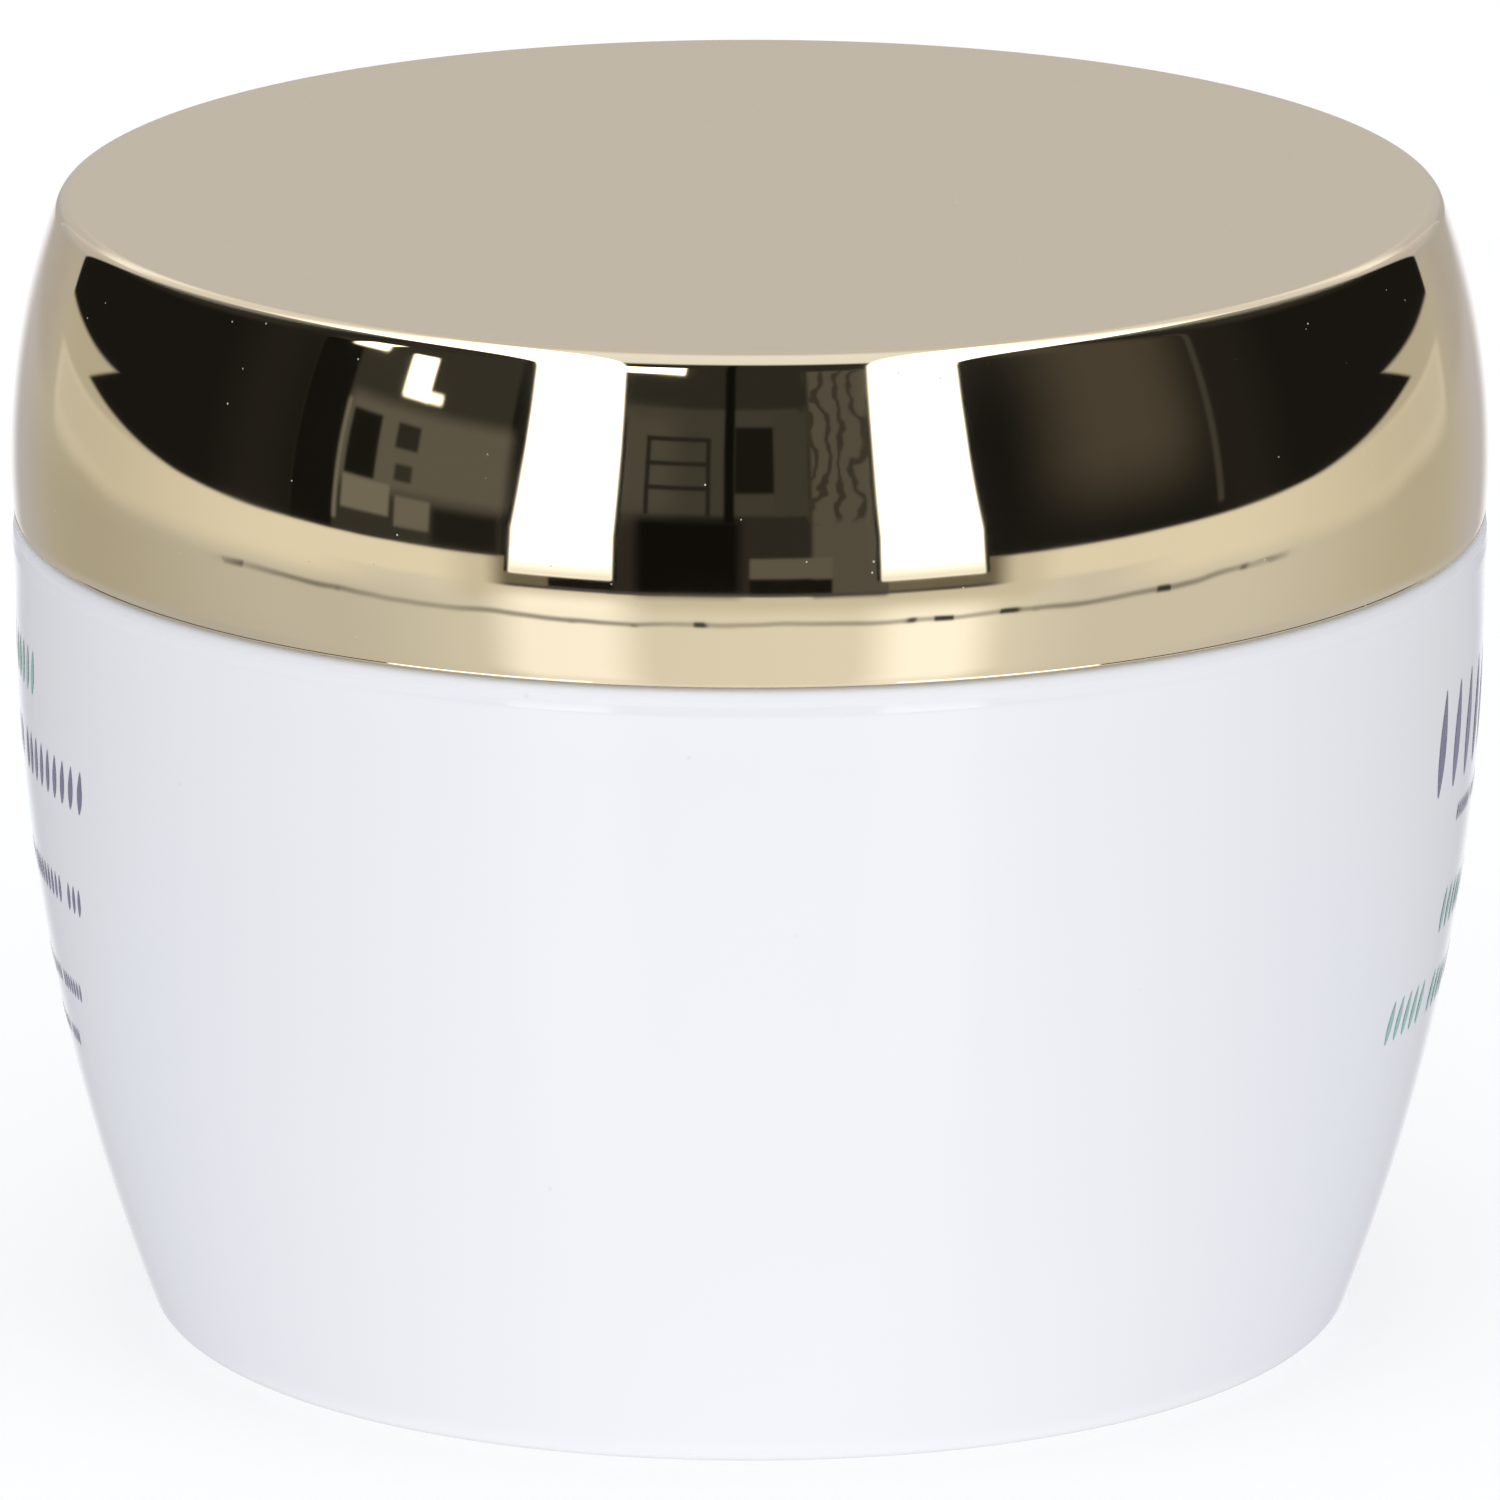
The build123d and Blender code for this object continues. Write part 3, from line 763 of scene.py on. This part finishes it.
def paint_middle_wall(sky):
    """The wall between the strip lights, with a shelf, a post, a wrinkled curtain and low furniture."""
    sky.panel(-22, 21, -8.6, 52, 0.03, 0.3)
    sky.panel(-22, 8, 4.0, 20.5, 0.060, 0.5)
    sky.panel(-22, -12, 4.0, 19.5, 0.085, 3.0)
    sky.panel(9.5, 21, -8.9, 27, 0.105, 0.5)
    waves = {"Vector": sky.direction, "Scale": 7.0, "Distortion": 14.0, "Detail": 3.0}
    wrinkles = sky.both(
        sky.between(sky.around, 8.5, 19, 0.5),
        sky.between(sky.height, 3, 27, 1),
        sky.step(add(sky.tree, "TexWave", waves).outputs["Fac"], 0.4, 0.1),
    )
    sky.paint(wrinkles, (0.048, 0.046, 0.038))
    for shelf in (15.4, 11.6, 7.8):
        sky.panel(-16.4, -6.2, shelf, shelf + 0.7, 0.022, 0.2)
    for post in (-16.4, -6.8):
        sky.panel(post, post + 0.7, 4, 16, 0.022, 0.2)
    sky.panel(-4, -2.4, 3, 52, 0.006, 0.3)
    sky.panel(-2.4, 3.8, 7.5, 17.8, 0.012, 0.4)
    sky.panel(3.8, 9.0, 4, 20, 0.055, 0.3)
    sky.panel(-17.5, -1.5, -8.6, 3.4, 0.006, 1.2)
    sky.panel(0, 12.5, -5.8, -2.6, 0.13, 0.3)
    sky.panel(0, 12.5, -8.6, -6.0, 0.010, 0.3)


def paint_ceiling(sky):
    """A pale ceiling, warmer behind, and a lamp where it meets the middle wall."""
    ceiling = sky.both(sky.step(sky.over, 45, 58), sky.step(sky.aside, 24, 22))
    sky.paint(ceiling, (0.96, 1.0, 1.06))
    sky.paint(sky.both(ceiling, sky.step(sky.over, 100, 125)), (0.490, 0.480, 0.491))
    sky.panel(-22, -11, 25.7, 31, 4.0, 0.3)


def paint_strip_lights(sky):
    """Two long lights that run overhead from front to back, with dark edges and a dark gap under them."""
    sky.panel(-31, -21, -8.3, -6.4, 0.010)
    shade = sky.both(sky.step(sky.side, 40, 36), sky.between(sky.height, -8.65, -8.2, 0.2))
    sky.paint(shade, (0.07, 0.07, 0.08))

    turn = sky.calc("MAXIMUM", sky.over, 0.0)
    inner = sky.calc("MULTIPLY_ADD", turn, -0.078, 20.5)
    outer = sky.calc("MULTIPLY_ADD", sky.calc("MINIMUM", turn, 30.0), -0.148, 36.5)
    far = sky.calc("MAXIMUM", sky.calc("SUBTRACT", turn, 95.0), 0.0)
    outer = sky.calc("MULTIPLY_ADD", far, -0.08, outer)
    past_inner = sky.calc("SUBTRACT", sky.aside, inner)
    past_outer = sky.calc("SUBTRACT", sky.aside, outer)
    along = sky.both(sky.step(sky.height, -6.85, -6.35), sky.between(sky.over, -20, 150, 8))
    edges = sky.both(sky.step(past_inner, -0.95, -0.65), sky.step(past_outer, 0.95, 0.65), along)
    sky.paint(sky.both(edges, sky.step(sky.height, 30, 10)), (0.008, 0.008, 0.008))
    strips = sky.both(sky.step(past_inner, -0.3, 0.3), sky.step(past_outer, 0.3, -0.3), along)
    sky.paint(strips, (2.7, 2.7, 2.7))
    sky.paint(sky.both(strips, sky.step(sky.height, -3.0, -6.6)), (1.07, 1.09, 1.12))
    sky.paint(sky.both(strips, sky.step(turn, 104, 132)), (0.78, 0.77, 0.76))


def soft_light(sky):
    """What matt surfaces see instead: an even light, a little brighter in front, above and below."""
    sideways = sky.calc("MULTIPLY", sky.x, sky.x)
    even = sky.calc("MULTIPLY_ADD", sky.front, 0.20, 0.85)
    even = sky.calc("MULTIPLY_ADD", sky.calc("MULTIPLY", sky.z, sky.z), 0.6, even)
    even = sky.calc("MULTIPLY_ADD", sideways, -0.52, even)
    even = sky.calc("MULTIPLY_ADD", sky.step(sky.z, -0.8, -0.92), 0.38, even)
    cast = blend(sky.tree, sideways, (1.0, 1.0, 1.0, 1.0), (0.94, 1.0, 1.15, 1.0))
    return sky.scaled(cast, even)


def make_world():
    """A soft white studio, in which mirrors see a dim room in front, two strip lights and a pale table."""
    world = bpy.data.worlds.new("studio")
    bpy.context.scene.world = world
    world.use_nodes = True
    tree = world.node_tree
    tree.nodes.clear()
    sky = Sky(tree)
    paint_walls(sky)
    paint_table(sky)
    paint_dark_front(sky)
    paint_right_wall(sky)
    paint_left_wall(sky)
    strip_floor = sky.both(sky.step(sky.side, 42, 37), sky.between(sky.height, -8.55, -4.4, 0.25))
    sky.paint(strip_floor, (0.18, 0.16, 0.12))
    paint_middle_wall(sky)
    paint_ceiling(sky)
    paint_strip_lights(sky)
    paths = add(tree, "LightPath")
    light = blend(tree, paths.outputs["Is Glossy Ray"], soft_light(sky), sky.seen)
    light = blend(tree, paths.outputs["Is Camera Ray"], light, grey(1.0))
    background = add(tree, "Background", {"Color": light, "Strength": 1.0})
    output = add(tree, "OutputWorld")
    tree.links.new(background.outputs[0], output.inputs["Surface"])
    world.cycles.sampling_method = "NONE"


FLOOR_RADIUS = 2.5  # in metres, as are the two below
FLOOR_FADE_START = 1.2
FLOOR_FADE_END = 2.4


def make_floor():
    """A pale floor seen only from above, which mirrors and matt surfaces look past."""
    bm = bmesh.new()
    bmesh.ops.create_circle(bm, cap_ends=True, segments=96, radius=FLOOR_RADIUS)
    mesh = bpy.data.meshes.new("floor")
    bm.to_mesh(mesh)
    bm.free()
    made, tree, shader, coords = material("floor_pale")
    shader.inputs["Roughness"].default_value = 0.9
    shader.inputs["Specular IOR Level"].default_value = 0.0
    tone = blend(tree, noise(tree, coords, 40, 3), grey(0.50), grey(0.52))
    tree.links.new(tone, shader.inputs["Base Color"])
    shader.inputs["Emission Color"].default_value = grey(1.0)
    shader.inputs["Emission Strength"].default_value = 0.49
    hidden = add(tree, "BsdfTransparent")
    underneath = add(tree, "NewGeometry").outputs["Backfacing"]
    distance = add(tree, "VectorMath", {0: coords}, operation="LENGTH").outputs["Value"]
    fade = calc(tree, "MAXIMUM", underneath, smooth(tree, distance, FLOOR_FADE_START, FLOOR_FADE_END))
    mix = add(tree, "MixShader", {0: fade, 1: shader.outputs[0], 2: hidden.outputs[0]})
    tree.links.new(mix.outputs[0], tree.nodes["Material Output"].inputs["Surface"])
    mesh.materials.append(made)
    floor = bpy.data.objects.new("floor", mesh)
    floor.visible_glossy = False
    floor.visible_diffuse = False
    bpy.context.scene.collection.objects.link(floor)


CAMERA_DISTANCE = 1120
CAMERA_ELEVATION = 14.65
CAMERA_TARGET_Z = 27.3
FRAME_WIDTH = 71.36  # what the picture spans at the jar
SENSOR_WIDTH = 36.0


def make_camera():
    elevation = radians(CAMERA_ELEVATION)
    back = Vector((0, -cos(elevation), sin(elevation)))
    data = bpy.data.cameras.new("camera")
    data.sensor_width = SENSOR_WIDTH
    data.lens = SENSOR_WIDTH * CAMERA_DISTANCE / FRAME_WIDTH
    camera = bpy.data.objects.new("camera", data)
    camera.location = Vector((0, 0, CAMERA_TARGET_Z * MM)) + back * CAMERA_DISTANCE * MM
    camera.rotation_mode = "QUATERNION"
    camera.rotation_quaternion = (-back).to_track_quat("-Z", "Y")
    bpy.context.scene.collection.objects.link(camera)
    bpy.context.scene.camera = camera


make_world()
make_floor()
make_camera()
bpy.context.scene.view_settings.view_transform = "Standard"
